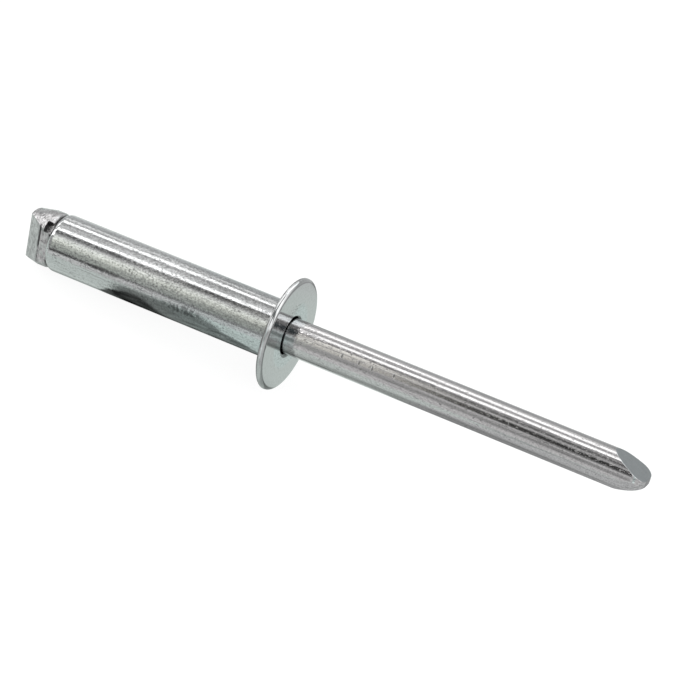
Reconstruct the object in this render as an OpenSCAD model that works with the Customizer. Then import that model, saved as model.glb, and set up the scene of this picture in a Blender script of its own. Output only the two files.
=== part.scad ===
// Blind rivet (pop rivet) as supplied, before it is set: a flanged steel tube on a steel mandrel.
// Each piece is drawn upright on the common axis, with the bearing face of the flange at zero and
// the pull end of the mandrel upwards. Both are then laid down together, as the rivet rests.

/* [Shank] */
// Outside diameter of the tubular shank, the nominal size of the rivet (3/16 in)
shank_d = 4.8; // [4:0.1:5.6]
// Length of the shank from the bearing face of the flange to the blind end
shank_l = 20.8; // [12:0.5:30]
// Radius of the rounded corner at the blind end
shank_corner_r = 0.5; // [0.1:0.05:0.6]
// Radius of the fillet between shank and flange
shank_fillet_r = 0.2; // [0.1:0.05:0.4]

/* [Flange] */
// Diameter of the flange
flange_d = 9.25; // [8:0.25:11]
// Thickness of the flange where its face meets the rounded rim
flange_t = 0.46; // [0.4:0.02:0.8]
// Rise of the flange face from the rim to the mouth of the bore
flange_rise = 0.06; // [0:0.02:0.3]
// Radius of the rim on the side of the face
rim_face_r = 0.34; // [0.1:0.02:0.36]
// Radius of the rim on the bearing side
rim_back_r = 0.08; // [0.02:0.01:0.1]
// Radius of the rounded mouth of the bore
bore_mouth_r = 0.2; // [0.05:0.05:0.3]

/* [Mandrel stem] */
// Diameter of the stem
stem_d = 2.96; // [2.5:0.02:3.2]
// Length of the stem past the bearing face, which the setting tool grips
stem_out_l = 30.7; // [22:0.1:40]
// Radial clearance of the stem in the bore
stem_clearance = 0.08; // [0.04:0.01:0.15]
// Depth of the break notch round the stem
notch_depth = 0.4; // [0.1:0.05:0.7]
// Length of the break notch along the stem
notch_l = 0.9; // [0.4:0.1:1.6]
// Distance from the mandrel head to the middle of the break notch
notch_from_head = 1.2; // [1:0.1:4]
// Depth of the ring that the flange's bore leaves round the stem it is closed on
ring_depth = 0.05; // [0.02:0.01:0.1]
// Length of that ring along the stem
ring_l = 0.6; // [0.5:0.05:0.8]
// How far the ring shows past the face of the flange
ring_out = 0.1; // [0.06:0.01:0.14]

/* [Mandrel head] */
// How far the round of the head stays inside the outside of the shank
head_inset = 0.08; // [0.02:0.01:0.2]
// Length of the head past the blind end of the shank
head_l = 2.4; // [1.8:0.04:3.2]
// Length of the head at its full radius, before it tapers
head_round_l = 1; // [0.6:0.05:1.4]
// Loss of radius over the taper
head_taper = 0.28; // [0.02:0.02:0.5]
// Radius of the edge that lies against the shank
head_edge_r = 0.4; // [0.1:0.05:0.5]
// Distance from the axis to the two flats nipped on the head
nip_flat_off = 1.76; // [1.5:0.02:2]
// Length of the flats, from the shank to the start of the wedge
nip_flat_l = 0.9; // [0.6:0.02:1.2]
// Half thickness of the wedge at the end of the head
nip_wedge_off = 0.8; // [0.3:0.02:1.2]
// Width of the crease between flat and wedge
crease_w = 0.12; // [0.06:0.02:0.2]
// Depth of the crease
crease_depth = 0.08; // [0.04:0.01:0.15]
// Turn of the flats round the axis
nip_turn = 54; // [0:1:179]

/* [Chip in the head] */
// Width of the chip missing from the edge of the head
chip_w = 0.95; // [0.4:0.05:1.2]
// Length of the chip along the axis
chip_l = 0.6; // [0.3:0.02:0.8]
// Depth of the chip
chip_depth = 0.45; // [0.1:0.02:0.5]
// Turn of the chip round the axis
chip_turn = 186; // [0:1:359]

/* [Mandrel tip] */
// Angle of the first cropped facet to the axis
crop_angle = 24; // [18:0.5:36]
// Distance from the axis at which the first facet reaches the end
crop_off = 0.16; // [0.1:0.02:0.4]
// Angle of the opposite cropped facet to the axis
back_crop_angle = 22.5; // [18:0.5:36]
// Distance from the axis at which the opposite facet reaches the end
back_crop_off = 0.38; // [0.1:0.02:0.6]
// Turn of the two cropped facets round the axis
crop_turn = 139; // [0:1:359]
// Angle of the shallow side facet to the axis
side_angle = 5; // [3:0.5:8]
// Distance from the axis at which the side facet reaches the end
side_off = 1.33; // [1.2:0.01:1.4]
// Turn of the side facet round the axis
side_turn = 244; // [0:1:359]
// Radius of the blunt end
tip_round_r = 1; // [0.4:0.05:1.2]

/* [Hidden] */
$fn = 96;
// turn of the body, which sets the middle of a facet of its mesh on the floor, and no corner
flat_turn = 2.7;
// cuts run this far past what they cut
past = 1;

shank_r = shank_d / 2;
flange_r = flange_d / 2;
face_z = flange_t + flange_rise;
stem_r = stem_d / 2;
bore_r = stem_r + stem_clearance;
head_r = shank_r - head_inset;
head_end_r = head_r - head_taper;
// loss of half thickness along the wedge, for each unit of length
wedge_slope = (nip_flat_off - nip_wedge_off) / (head_l - nip_flat_l);

// Tilt at which the flange's rim and an edge near the blind end both touch the floor. The edge
// is a round of radius edge_r, centred at core_r from the axis and reach from the bearing face.
function rest_tilt_on(core_r, reach, edge_r) =
    let (rise = flange_r - rim_back_r - core_r, run = reach + rim_back_r)
    acos((edge_r - rim_back_r) / norm([rise, run])) - atan2(run, rise);

tilt_on_shank = rest_tilt_on(shank_r - shank_corner_r, shank_l - shank_corner_r, shank_corner_r);
tilt_on_head = rest_tilt_on(head_r, shank_l + head_round_l, 0);
rest_tilt = min(tilt_on_shank, tilt_on_head);
// height of the axis at the bearing face
rest_z = (flange_r - rim_back_r) * cos(rest_tilt) - rim_back_r * sin(rest_tilt) + rim_back_r;
// both ends of the rivet along the floor, measured from the bearing face
head_end_x = -(shank_l + head_l) * cos(rest_tilt) - head_end_r * sin(rest_tilt);
tip_end_x = stem_out_l * cos(rest_tilt) + (stem_r - tip_round_r) * sin(rest_tilt);
rest_x = -(head_end_x + tip_end_x) / 2;

// Tips the upright rivet over, pull end towards +X, until its lowest points touch the floor
module lay_down() {
    translate([rest_x, 0, rest_z])
        rotate([0, 90 - rest_tilt, 0])
            children();
}

// What a rounded outer corner loses from a square one, with the centre of the round at zero
module corner_waste(r) {
    difference() {
        square(r + past);
        circle(r);
        translate([r, -past])
            square([2 * past, past]);
    }
}

module flange_outline() {
    face_core_r = flange_r - rim_face_r;
    difference() {
        // disc, slightly raised towards the bore
        polygon([
            [0, 0],
            [flange_r, 0],
            [flange_r, flange_t],
            [face_core_r, flange_t],
            [bore_r, face_z],
            [0, face_z]
        ]);
        translate([face_core_r, flange_t - rim_face_r])
            corner_waste(rim_face_r);
        translate([flange_r - rim_back_r, rim_back_r])
            mirror([0, 1])
                corner_waste(rim_back_r);
    }
}

module shank_outline() {
    difference() {
        translate([0, -shank_l])
            square([shank_r, shank_l]);
        translate([shank_r - shank_corner_r, shank_corner_r - shank_l])
            mirror([0, 1])
                corner_waste(shank_corner_r);
    }
    // fillet under the flange
    translate([shank_r, -shank_fillet_r])
        difference() {
            square(shank_fillet_r);
            translate([shank_fillet_r, 0])
                circle(shank_fillet_r);
        }
}

module bore_outline() {
    mouth_z = face_z - bore_mouth_r;
    difference() {
        translate([0, -shank_l - past])
            square([bore_r + bore_mouth_r, shank_l + face_z + 2 * past]);
        translate([bore_r, -shank_l - 2 * past])
            square([bore_mouth_r + past, shank_l + mouth_z + 2 * past]);
        // rounded mouth
        translate([bore_r + bore_mouth_r, mouth_z])
            circle(bore_mouth_r);
    }
}

module rivet_body() {
    color("lightsteelblue")
        lay_down()
            rotate([0, 0, flat_turn])
                rotate_extrude()
                    difference() {
                        union() {
                            flange_outline();
                            shank_outline();
                        }
                        bore_outline();
                    }
}

// Outline of a V-shaped groove, with the middle of its mouth at zero
module groove_outline(depth, length) {
    polygon([[0, -length / 2], [-depth, 0], [0, length / 2]]);
}

module stem_outline() {
    difference() {
        translate([0, -shank_l])
            square([stem_r, shank_l + stem_out_l]);
        // break notch
        translate([stem_r, notch_from_head - shank_l])
            groove_outline(notch_depth, notch_l);
        // ring at the face of the flange
        translate([stem_r, face_z + ring_out - ring_l / 2])
            groove_outline(ring_depth, ring_l);
        // blunt end
        translate([stem_r - tip_round_r, stem_out_l - tip_round_r])
            corner_waste(tip_round_r);
    }
}

// Half space outside a facet that leans in by angle and is off from the axis at the stem's end
module facet_waste(angle, off) {
    reach = 4 * stem_d;
    translate([off, 0, stem_out_l])
        rotate([0, -angle, 0])
            translate([0, -reach / 2, -reach])
                cube([reach, reach, 2 * reach]);
}

// Drawn wire, cropped to a blunt chisel by the cutters that parted it
module mandrel_stem() {
    difference() {
        rotate_extrude()
            stem_outline();
        rotate([0, 0, crop_turn])
            facet_waste(crop_angle, crop_off);
        rotate([0, 0, crop_turn + 180])
            facet_waste(back_crop_angle, back_crop_off);
        rotate([0, 0, side_turn])
            facet_waste(side_angle, side_off);
    }
}

module head_outline() {
    difference() {
        polygon([
            [0, 0],
            [head_r, 0],
            [head_r, -head_round_l],
            [head_end_r, -head_l],
            [0, -head_l]
        ]);
        translate([head_r - head_edge_r, -head_edge_r])
            corner_waste(head_edge_r);
    }
}

// What one nipping die takes off its side of the head: a flat, a crease and half of the wedge
module nip_waste() {
    reach = 2 * shank_d;
    crease_end = crease_w / 2;
    rotate([90, 0, 0])
        linear_extrude(height = reach, center = true)
            polygon([
                [nip_flat_off, past],
                [nip_flat_off, crease_end - nip_flat_l],
                [nip_flat_off - crease_depth, -nip_flat_l],
                [nip_flat_off - crease_end * wedge_slope, -crease_end - nip_flat_l],
                [nip_wedge_off - past * wedge_slope, -head_l - past],
                [reach, -head_l - past],
                [reach, past]
            ]);
}

module chip_waste() {
    translate([head_r - chip_depth, -chip_w / 2, -chip_l])
        cube([chip_depth + past, chip_w, chip_l]);
}

// Upset on the end of the wire, then nipped from two sides into a blunt wedge
module mandrel_head() {
    translate([0, 0, -shank_l])
        difference() {
            rotate_extrude()
                head_outline();
            for (side = [0, 180])
                rotate([0, 0, nip_turn + side])
                    nip_waste();
            rotate([0, 0, chip_turn])
                chip_waste();
        }
}

module mandrel() {
    color("silver")
        lay_down() {
            mandrel_stem();
            mandrel_head();
        }
}

rivet_body();
mandrel();
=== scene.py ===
import math

import bpy
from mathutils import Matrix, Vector

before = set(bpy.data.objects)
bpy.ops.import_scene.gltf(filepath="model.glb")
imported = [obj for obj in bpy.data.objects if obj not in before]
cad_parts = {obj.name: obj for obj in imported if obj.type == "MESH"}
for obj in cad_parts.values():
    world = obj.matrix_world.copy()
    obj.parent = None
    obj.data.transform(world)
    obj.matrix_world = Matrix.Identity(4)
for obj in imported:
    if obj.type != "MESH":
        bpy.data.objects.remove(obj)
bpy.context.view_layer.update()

# Where the rivet lies
# The rivet rests on the rim of its flange and on the edge of its head, so its axis rises 6
# degrees towards the pulled end. The seat is the middle of the flange's bearing face.
seat = Vector((-0.0036476, 0.0, 0.0045916))
lean = math.radians(6.0149)
along = Vector((math.cos(lean), 0.0, math.sin(lean)))

# Camera
# A long lens looks down on the rivet from the front right, so that the shank runs up to the
# left and the pulled end comes down to the right, as in the photograph.
view_height = math.radians(61.67)
view_side = math.radians(-62.31)
view_distance = 0.18575
view_centre = seat + Vector((0.005156, 0.001046, 0.0))
picture_width = 700.0
focal_pixels = 2400.0
to_camera = Vector((
    math.cos(view_height) * math.cos(view_side),
    math.cos(view_height) * math.sin(view_side),
    math.sin(view_height),
))
lens = bpy.data.cameras.new("long_lens")
lens.sensor_width = 36.0
lens.lens = lens.sensor_width * focal_pixels / picture_width
lens.clip_start = 0.005
camera = bpy.data.objects.new("camera", lens)
bpy.context.scene.collection.objects.link(camera)
camera.location = view_centre + view_distance * to_camera
camera.rotation_euler = to_camera.to_track_quat("Z", "Y").to_euler()
bpy.context.scene.camera = camera
bpy.context.scene.view_settings.view_transform = "Standard"


# Studio
# A small white studio. Long soft lamps hang over the table along the rivet, with dark gaps
# between them, and bright plated metal shows them as light and dark lines along the wire.
class Wire:
    """A socket in a node tree. Arithmetic on it adds Math nodes."""

    def __init__(self, tree, socket=None):
        self.tree = tree
        self.socket = socket

    def node(self, kind, settings=None, inputs=None, output=0):
        """Adds a node: its settings first, then the values or links of its sockets."""
        made = self.tree.nodes.new(kind)
        for name, value in (settings or {}).items():
            if name == "stops":
                ramp = made.color_ramp
                while len(ramp.elements) < len(value):
                    ramp.elements.new(1.0)
                for element, (place, colour) in zip(ramp.elements, value):
                    element.position = place
                    element.color = (*colour, 1.0)
            else:
                setattr(made, name, value)
        for name, value in (inputs or {}).items():
            if isinstance(value, Wire):
                self.tree.links.new(value.socket, made.inputs[name])
            else:
                made.inputs[name].default_value = value
        return Wire(self.tree, made.outputs[output] if made.outputs else None)

    def math(self, operation, *values):
        return self.node("ShaderNodeMath", {"operation": operation}, dict(enumerate(values)))

    def __add__(self, other):
        return self.math("ADD", self, other)

    def __radd__(self, other):
        return self.math("ADD", other, self)

    def __sub__(self, other):
        return self.math("SUBTRACT", self, other)

    def __rsub__(self, other):
        return self.math("SUBTRACT", other, self)

    def __mul__(self, other):
        return self.math("MULTIPLY", self, other)

    def __rmul__(self, other):
        return self.math("MULTIPLY", other, self)

    def __truediv__(self, other):
        return self.math("DIVIDE", self, other)

    def parts(self):
        """The x, y and z of a vector."""
        split = self.node("ShaderNodeSeparateXYZ", None, {0: self})
        return [Wire(self.tree, socket) for socket in split.socket.node.outputs]

    def scaled(self, factors):
        """A vector times a vector of plain numbers."""
        return self.node("ShaderNodeVectorMath", {"operation": "MULTIPLY"}, {0: self, 1: factors})

    def reach(self, middle, radii):
        """How far a place is from the middle of an oval, whose edge is at 1."""
        placed = self.node("ShaderNodeMapping", {"vector_type": "TEXTURE"}, {
            "Vector": self, "Location": middle, "Scale": radii})
        return self.node("ShaderNodeVectorMath", {"operation": "LENGTH"}, {0: placed}, 1)

    def noise(self, waves, detail=2.0, rough=0.5):
        """Noise with so many waves to a unit of length along x, y and z."""
        return self.node("ShaderNodeTexNoise", None, {
            "Vector": self.scaled(waves), "Scale": 1.0, "Detail": detail, "Roughness": rough})

    def ease(self, low, high, most=1.0):
        """Goes smoothly from 0 to most while the value goes from low to high."""
        return self.node("ShaderNodeMapRange", {"interpolation_type": "SMOOTHSTEP"}, {
            "Value": self, "From Min": low, "From Max": high, "To Max": most})

    def colours(self, first, second):
        """Mixes two colours, with this share of the second."""
        return self.node("ShaderNodeMix", {"data_type": "RGBA"}, {0: self, 6: first, 7: second}, 2)

    def numbers(self, first, second):
        """Mixes two numbers, with this share of the second."""
        return self.node("ShaderNodeMix", {"data_type": "FLOAT"}, {0: self, 2: first, 3: second})

    def toned(self, tone):
        """A colour made darker or lighter by a tone, where 1 leaves it alone."""
        return self.node("ShaderNodeMix", {"data_type": "RGBA", "blend_type": "MULTIPLY"}, {
            0: 1.0, 6: self, 7: tone}, 2)


def bare_tree(owner):
    """Empties the node tree of a world or a material, and gives a wire to build it anew."""
    owner.use_nodes = True
    owner.node_tree.nodes.clear()
    return Wire(owner.node_tree)


studio = bpy.data.worlds.new("studio")
bpy.context.scene.world = studio
sky = bare_tree(studio)
dir_x, dir_y, dir_z = sky.node("ShaderNodeTexCoord").parts()
# A direction is told by its turn round the rivet's axis, from straight up at 0 to the front of
# the table at 90 degrees, and by how far it points along the axis, with the pulled end at 1
round_axis = sky.math("ARCTAN2", -1.0 * dir_y, dir_z) / (2 * math.pi) + 0.5
along_axis = dir_x * along.x + dir_z * along.z


def turned_past(first, last, most=1.0):
    """Goes from 0 to most as a direction turns round the rivet's axis, in degrees."""
    return round_axis.ease(first / 360 + 0.5, last / 360 + 0.5, most)


def lamp_row(turn, steps):
    """Lamps and gaps all round the axis: (angle in degrees, strength as a grey or a colour)."""
    stops = []
    for angle, light in steps:
        colour = light if isinstance(light, tuple) else (light, light, light)
        stops.append((angle / 360.0 + 0.5, colour))
    return sky.node("ShaderNodeValToRGB", {"stops": stops}, {0: turn})


over_shank = lamp_row(round_axis, [
    (-180, 0.65), (-125, 0.65), (-110, 0.74), (-98, 0.98), (-88, 1.45),
    (-82, 1.25), (-76, 0.62), (-72, 0.66), (-68, 3.20), (-61, 3.20),
    (-56, 0.55), (-47, 0.80), (-44, 1.05), (-38, 0.90), (-29, 1.15),
    (-25, 3.20), (-18, 3.20), (-14, 0.30), (-9, 0.15), (-3, 0.30),
    (5, 0.86), (11, (1.30, 1.32, 1.27)), (17, (1.56, 1.60, 1.52)), (24, (1.34, 1.38, 1.28)),
    (33, (1.09, 1.12, 1.03)), (39, (0.84, 0.88, 0.81)), (46, (0.63, 0.66, 0.61)),
    (61, (0.57, 0.61, 0.57)), (65, 0.40), (72, 0.36), (74, 1.00),
    (180, (0.92, 1.00, 0.965)),
])
# The lamps that the stem shows hang a little askew to it
lamp_skew = 100 / 360
lamp_crossing = 0.225
over_stem = lamp_row(round_axis - (along_axis + lamp_crossing) * lamp_skew, [
    (-180, 0.55), (-100, 0.60), (-88, 0.85), (-80, 1.15), (-73, 1.60),
    (-69, 2.60), (-62, 2.90), (-56, 1.20), (-51, 0.66), (-45, 0.58), (-40, 0.72),
    (-36, 1.60), (-33, 2.80), (-24, 2.70), (-20, 0.80), (-15, 0.50), (-9, 0.42), (-3, 0.18),
    (1, 0.14), (5, 0.36), (10, 0.92), (14, 0.78), (18, 0.18), (22, 0.04),
    (30, 0.04), (35, 0.14), (44, 0.98), (50, 0.74), (56, 0.42),
    (62, 0.44), (68, 0.80), (105, 0.95),
])
by_flange = lamp_row(round_axis, [
    (-180, 0.55), (-104, 0.60), (-95, 0.90), (-84, 1.15), (-78, 1.50),
    (-74, 2.80), (-66, 2.30), (-61, 0.75), (-50, 0.60), (-43, 0.66),
    (-37, 1.90), (-33, 2.60), (-28, 2.50), (-24, 0.50), (-19, 0.18),
    (-13, (0.40, 0.39, 0.38)), (-6, (1.74, 1.72, 1.64)), (-1, (1.70, 1.68, 1.58)),
    (5, (1.20, 1.19, 1.11)), (12, (1.08, 1.06, 1.00)),
    (24, (1.08, 1.06, 0.99)), (31, (0.88, 0.86, 0.80)),
    (38, 0.66), (48, 0.58), (56, 0.58), (62, 0.70), (68, 0.88),
    (85, 0.92), (95, 0.90), (105, 0.85), (180, 0.80),
])
in_flange = lamp_row(round_axis, [
    (-180, 0.60), (-112, 0.75), (-100, 1.20), (-84, (2.30, 2.40, 2.42)),
    (-70, (2.85, 2.95, 3.00)), (-52, (2.90, 3.00, 3.05)), (-46, 1.60), (-41, 0.42),
    (-33, 0.46), (-27, 0.60), (-20, 0.18), (-12, (0.13, 0.16, 0.17)), (8, (0.14, 0.17, 0.18)),
    (15, 0.30), (22, 0.60), (29, (1.50, 1.62, 1.62)), (34, (1.30, 1.42, 1.42)),
    (41, (0.70, 0.80, 0.79)), (49, (0.44, 0.52, 0.51)), (56, (0.80, 0.92, 0.90)),
    (67, (1.30, 1.46, 1.44)), (85, (1.00, 1.12, 1.10)), (180, 0.90),
])
behind = lamp_row(round_axis, [
    (-180, 0.70), (-90, 0.65), (-66, 0.50), (-60, 3.50), (-46, 3.50), (-40, 0.60),
    (-24, 0.70), (-18, 4.50), (4, 4.50), (10, 0.45), (50, 0.60), (80, 0.85), (180, 0.85),
])
ahead = lamp_row(round_axis, [
    (-180, 0.70), (-100, 0.80), (-60, 1.60), (-35, 2.40), (-12, 2.00), (-4, 0.40), (4, 0.50),
    (9, 2.20), (26, 1.60), (36, 0.60), (60, 0.90), (180, 0.90),
])
# The rows follow each other from the blind end to the pulled end
lamps = behind
for first, last, row in (
    (-0.62, -0.52, over_shank),
    (-0.345, -0.325, by_flange),
    (-0.299, -0.272, over_stem),
    (-0.16, -0.13, ahead),
    (0.10, 0.14, in_flange),
    (0.42, 0.46, ahead),
):
    lamps = along_axis.ease(first, last).colours(lamps, row)
# Something dark stood on the table in front of the shank, and the far edge of the table was dark
# towards the blind end
standing = along_axis.ease(-0.406, -0.400) * (1.0 - along_axis.ease(-0.380, -0.370))
standing = standing * turned_past(76, 84, 0.72)
far_edge = (1.0 - along_axis.ease(-0.412, -0.388)) * turned_past(61, 64, 0.76)
far_edge = far_edge * (1.0 - turned_past(72, 75))
camera_ray = sky.node("ShaderNodeLightPath")
lamp_light = sky.node("ShaderNodeBackground", None, {
    "Color": lamps, "Strength": 1.0 - standing - far_edge})
white_wall = sky.node("ShaderNodeBackground", None, {"Color": (1, 1, 1, 1), "Strength": 1.0})
sky_light = sky.node("ShaderNodeMixShader", None, {0: camera_ray, 1: lamp_light, 2: white_wall})
sky.node("ShaderNodeOutputWorld", None, {"Surface": sky_light})

# The table is white to the camera. In the metal it is white too, but greyer at the back, and it
# shows the stem's painted shadow and a dark patch in front of the shank, a painted reflection.
bpy.ops.object.select_all(action="DESELECT")
bpy.ops.mesh.primitive_plane_add(size=1.6)
table = bpy.context.object
table.name = "table"
top_paint = bpy.data.materials.new("pale_table")
top = bare_tree(top_paint)
millimetres = (1000, 1000, 1000)
spot = top.node("ShaderNodeTexCoord", None, None, 3).scaled(millimetres)
x, y = spot.parts()[:2]
wave = spot.noise((0.5, 0.5, 0.5), 3.0)


def oval(centre, radii, soft, depth):
    """A soft oval on the table, in millimetres."""
    return spot.reach((*centre, 0), (*radii, 1)).ease(1 + soft, 1 - soft, depth)


# The painted dark reflection in front is darkest towards the rivet's blind end, with ragged edges
ragged = x + (wave - 0.5) * 2.0
in_front = y.ease(1.0, -0.5)
right_edge = top.math("MAXIMUM", y * 0.95 - 1.8, y * 0.44 - 6.6)
dark_reflection_patch = (ragged - y * 0.40).ease(-17.6, -16.8) * (ragged - right_edge).ease(0.3, -0.4)
dark_reflection_patch = dark_reflection_patch * in_front * x.ease(-2.8, -3.2) * (0.28 + wave * 0.80)
darkest_reflection_patch = ragged.ease(-20.2, -19.4) * (ragged - y * 0.62).ease(-12.0, -12.9)
darkest_reflection_patch = darkest_reflection_patch * in_front * 0.86 * (0.54 + wave * 0.80)
shade = (1.0 - dark_reflection_patch) * (1.0 - darkest_reflection_patch)
# The rivet's own shadow lies under it and just behind it, but not where the flange sees it
under = y.ease(-3.3, -2.4) * y.ease(6.0, 4.8) * x.ease(-26.5, -25.5) * x.ease(34, 32)
under = under * (1.0 - oval((0.6, 2.0), (5.2, 8.0), 0.2, 1.0))
shade = shade * (1.0 - under * 0.48)
for centre, radii, soft, depth in (
    ((10.0, -5.6), (15.0, 3.3), 0.4, 0.42),
    ((-3.0, 8.4), (2.6, 1.6), 0.3, 0.50),
    ((-1.8, -3.7), (2.2, 0.9), 0.3, 0.50),
):
    shade = shade * (1.0 - oval(centre, radii, soft, depth))
# The light falls off towards the back and the right
shade = shade * (1.0 - y.ease(6, 11, 0.20))
shade = shade * (1.0 - x.ease(6, 10, 0.10))
shade = shade * (1.0 + x.ease(-13, -15, 0.06))
back = top.math("MAXIMUM", y.ease(5, 9), x.ease(5.5, 7.5, 0.9))
cast = back.colours((0.92, 1, 0.965, 1), (0.912, 0.930, 0.935, 1))
mirrored = top.node("ShaderNodeEmission", None, {"Color": cast.toned(shade), "Strength": 0.92})
plain = top.node("ShaderNodeBsdfDiffuse", None, {"Color": (0.78, 0.80, 0.79, 1)})
faint = top.node("ShaderNodeBsdfDiffuse", None, {"Color": (0.15, 0.15, 0.15, 1)})
glow = top.node("ShaderNodeEmission", None, {"Color": (1, 1, 1, 1), "Strength": 0.89})
lit = top.node("ShaderNodeAddShader", None, {0: faint, 1: glow})
camera_ray = top.node("ShaderNodeLightPath")
glossy_ray = Wire(top.tree, camera_ray.socket.node.outputs["Is Glossy Ray"])
in_metal = top.node("ShaderNodeMixShader", None, {0: glossy_ray, 1: plain, 2: mirrored})
surface = top.node("ShaderNodeMixShader", None, {0: camera_ray, 1: in_metal, 2: lit})
top.node("ShaderNodeOutputMaterial", None, {"Surface": surface})
table.data.materials.append(top_paint)

# Rivet body
# A steel tube with a thin flange, drawn and headed from one blank and zinc plated bright.
# Tumbling has left it finely pitted, with rubbed lines along the shank.
plated_body = bpy.data.materials.new("plated_body")
body = bare_tree(plated_body)
relief_depth = 0.000007


def in_millimetres(tree):
    """Position from the seat in mm: z along the rivet, x down across it."""
    return tree.node("ShaderNodeMapping", {"vector_type": "TEXTURE"}, {
        "Vector": tree.node("ShaderNodeTexCoord", None, None, 3), "Location": seat,
        "Rotation": (0, math.radians(90) - lean, 0), "Scale": (0.001, 0.001, 0.001)})


def band(value, middle, half, edge):
    """1 where a value is within half of the middle, with a soft edge."""
    return value.math("ABSOLUTE", value - middle).ease(half + edge, half)


def plate(colour, dullness, relief):
    """Bright plating in this colour, with its dullness and its fine relief."""
    bump = relief.node("ShaderNodeBump", None, {
        "Strength": 1.0, "Distance": relief_depth, "Height": relief})
    zinc_plating = relief.node("ShaderNodeBsdfPrincipled", None, {
        "Base Color": colour, "Metallic": 1.0, "Roughness": dullness, "Normal": bump})
    relief.node("ShaderNodeOutputMaterial", None, {"Surface": zinc_plating})


place = in_millimetres(body)
x, y, z = place.parts()
radius = body.math("SQRT", x * x + y * y)
on_shank = radius.ease(2.9, 2.45)

drawn = place.noise((4.0, 4.0, 0.10), 4.0, 0.6)
rubbed = place.noise((11.0, 11.0, 0.30), 2.0, 0.6)
hairlines = rubbed.ease(0.58, 0.68)
grain = place.noise((6.5, 6.5, 5.5), 3.0, 0.65)
specks = place.noise((6.5, 6.5, 5.5), 3.0, 0.7).ease(0.32, 0.66)
worn = place.noise((0.5, 0.5, 0.3), 2.0, 0.5).ease(0.35, 0.60)
pits = place.noise((7.0, 7.0, 5.0), 3.0, 0.7).ease(0.55, 0.64)
pits = pits * (on_shank * (0.35 + worn * 0.55) + 0.10)
# The upper side is rubbed rougher, and both ends of the shank are smoother than its middle
rough_side = on_shank * (x.ease(-1.2, -1.9, 0.75) + z.ease(-14.5, -11.5, 0.35) + 0.15)
uneven = 1.0 - z.ease(-14.0, -17.0, 0.75) * on_shank - z.ease(-8.0, -4.5, 0.80) * on_shank

# Painted shade darkens the mouth of the bore, the back edge of the rim and the fillet under the
# flange, and a painted dark line of reflection runs round the face where it meets the rounded rim
mouth_shade = (radius - x * 0.09).ease(1.80, 1.70, 0.80) * z.ease(0.2, 0.4)
rim_edge_shade = radius.ease(4.50, 4.58, 0.45) * z.ease(0.16, 0.08)
rim_dark_line = band(radius, 4.385, 0.02, 0.03) * z.ease(0.3, 0.4, 0.30)
fillet_shade = band(radius, 2.50, 0.03, 0.08) * z.ease(0.1, -0.1, 0.35)

# The front of the shank is darker in two patches, in short marks across it
marks = place.noise((1.4, 1.4, 2.8), 3.0, 0.65).ease(0.42, 0.53)
darker_patches = 0.0
for middle, radii, depth in (
    ((-1.22, -2.07, -7.9), (0.42, 0.40, 1.9), 0.54),
    ((-1.66, -1.73, -15.1), (0.22, 0.30, 1.6), 0.42),
):
    darker_patches = darker_patches + place.reach(middle, radii).ease(1.15, 0.65, depth)

tone = 1.0 - pits * 0.50
tone = tone * (1.0 - darker_patches * marks)
tone = tone * (0.84 + drawn * 0.32)
tone = tone * (1.0 - hairlines * on_shank * 0.26)
tone = tone * (1.0 + (specks - 0.5) * (0.06 + rough_side * 0.40))
tone = tone * (0.95 + on_shank * 0.05)
# Painted shade and the painted dark line darken the tone
for painted_shade in (mouth_shade, rim_edge_shade, rim_dark_line, fillet_shade):
    tone = tone * (1.0 - painted_shade)
# Towards the flange the upper side is darker, and the colour below it is cooler
near_flange = on_shank * z.ease(-12.0, -6.0)
tone = tone * (1.0 - near_flange * x.ease(-1.0, -1.8, 0.12))
cooler = near_flange * x.ease(-2.1, -1.2)
zinc = cooler.colours((0.468, 0.474, 0.474, 1), (0.456, 0.492, 0.494, 1))
dullness = 0.06 + grain * 0.04 + pits * 0.14
relief = grain * (on_shank * (0.52 + worn * 0.90) + 0.08)
relief = relief + rubbed * (on_shank * 0.25)
relief = relief * uneven - pits * 0.22
plate(zinc.toned(tone), dullness, relief)
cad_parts["rivet_body"].material_slots[0].material = plated_body

# Mandrel
# Drawn steel wire, headed and nipped at one end and cropped at the other, zinc plated.
# The stem keeps the fine lines of the drawing die; the head is rough from heading.
plated_wire = bpy.data.materials.new("plated_wire")
wire = bare_tree(plated_wire)
place = in_millimetres(wire)
x, y, z = place.parts()
radius = wire.math("SQRT", x * x + y * y)
head_start = -20.6
on_head = z.ease(head_start, head_start - 0.3)

die_lines = place.noise((6.0, 6.0, 0.025), 3.0, 0.6)
fine_lines = place.noise((12.0, 12.0, 0.15), 2.0, 0.6)
hairlines = fine_lines.ease(0.56, 0.66)
grain = place.noise((11.0, 11.0, 8.0), 2.0, 0.7)
specks = place.noise((9.0, 9.0, 7.0), 2.0, 0.7).ease(0.30, 0.70)
pits = place.noise((7.0, 7.0, 3.5), 3.0, 0.7).ease(0.58, 0.66)
mottle = place.noise((1.9, 1.9, 1.9), 4.0, 0.62)
blotches = place.noise((2.2, 2.2, 6.0), 3.0, 0.65).ease(0.36, 0.62)
lumps = place.noise((1.1, 1.1, 1.1), 1.0, 0.4)
# Near the flange the stem is rippled where the flange closed on it
ripples = place.noise((3.0, 3.0, 2.0), 3.0, 0.6) * z.ease(5.5, 1.5, 2.0)
# Four nicks lie in a row along the upper side of the stem
nicks = 0.0
for middle in (
    (-1.35, -0.61, 5.51), (-1.34, -0.62, 6.98), (-1.32, -0.66, 8.13), (-1.38, -0.54, 9.95),
):
    nicks = nicks + place.reach(middle, (0.4, 0.17, 0.08)).ease(1.3, 0.6)

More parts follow.
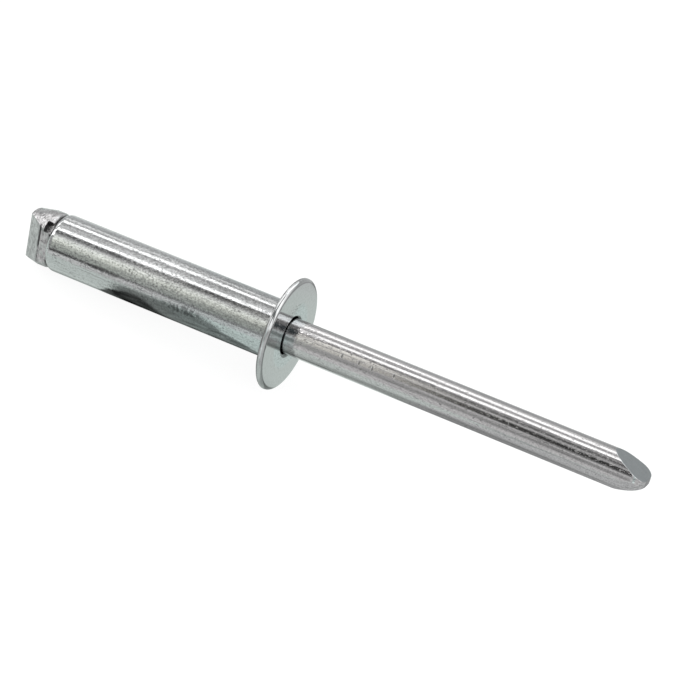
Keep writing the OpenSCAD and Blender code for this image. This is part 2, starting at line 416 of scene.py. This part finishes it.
stem_tone = 1.0 - pits * 0.35
stem_tone = stem_tone * (0.80 + die_lines * 0.40)
stem_tone = stem_tone * (1.0 - hairlines * 0.30)
stem_tone = stem_tone * (0.88 + specks * 0.24)
stem_tone = stem_tone * (1.0 - nicks * 0.50)

# The two cutters that part the wire leave a smooth facet each: lean to the axis, distance from
# it at the end, and turn round it. A painted highlight lies along the ridge at the edge of the
# facet that shows.
stem_end = 30.7
cropped = 0.0
for facet_lean, facet_off, facet_turn in ((24.0, 0.16, 139.0), (22.5, 0.38, 319.0)):
    facet_lean = math.radians(facet_lean)
    facet_turn = math.radians(facet_turn)
    across = x * math.cos(facet_turn) + y * math.sin(facet_turn) - facet_off
    height = across * math.cos(facet_lean) + (z - stem_end) * math.sin(facet_lean)
    cropped = cropped + height.ease(-0.03, -0.01)
# A painted highlight along the ridge at the facet's edge
ridge_highlight = radius.ease(1.36, 1.43) * y.ease(0.2, -0.1) * x.ease(-0.80, -0.95)
facet_tone = (0.64 + mottle * 0.20) * (1.0 + ridge_highlight * 0.35)
stem_tone = cropped.numbers(stem_tone, facet_tone)

# Painted shade darkens the crease between flat and wedge, the chip, and the head by the end of the
# shank
crease_line = -21.74
nip_turn = math.radians(54)
nipped = wire.math("ABSOLUTE", x * math.cos(nip_turn) + y * math.sin(nip_turn))
crease_shade = band(z + (mottle - 0.5) * 0.30, crease_line, 0.06, 0.10)
crease_shade = crease_shade * nipped.ease(1.45, 1.65) * (1.0 - x.ease(-1.0, -0.6, 0.7))
chip_shade = place.reach((-1.95, -0.15, -21.2), (0.40, 0.55, 0.28)).ease(1.2, 0.8)
head_tone = 0.22 + mottle * 0.88 + blotches * 0.30
head_tone = head_tone * (1.0 - crease_shade * 0.78)
head_tone = head_tone * (1.0 - chip_shade * 0.65)
# Painted shade darkens the head next to the end of the shank
head_tone = head_tone * (1.0 - z.ease(head_start - 0.35, head_start - 0.25, 0.6))
tone = on_head.numbers(stem_tone, head_tone)
zinc = cropped.colours((0.480, 0.472, 0.474, 1), (0.500, 0.530, 0.540, 1))

stem_dull = 0.06 + grain * 0.04 + pits * 0.12
head_dull = 0.08 + mottle * 0.14
dullness = on_head.numbers(stem_dull, head_dull)
stem_relief = grain * 0.20 + fine_lines * 0.30 + die_lines * 0.45 + ripples
stem_relief = stem_relief - pits * 0.25 - nicks * 1.6
stem_relief = stem_relief * (1.0 - cropped * 0.8)
head_relief = mottle * 5.0 + lumps * 27.0 + blotches * 1.6 + grain * 0.8
relief = on_head.numbers(stem_relief, head_relief)
plate(zinc.toned(tone), dullness, relief)
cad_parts["mandrel"].material_slots[0].material = plated_wire
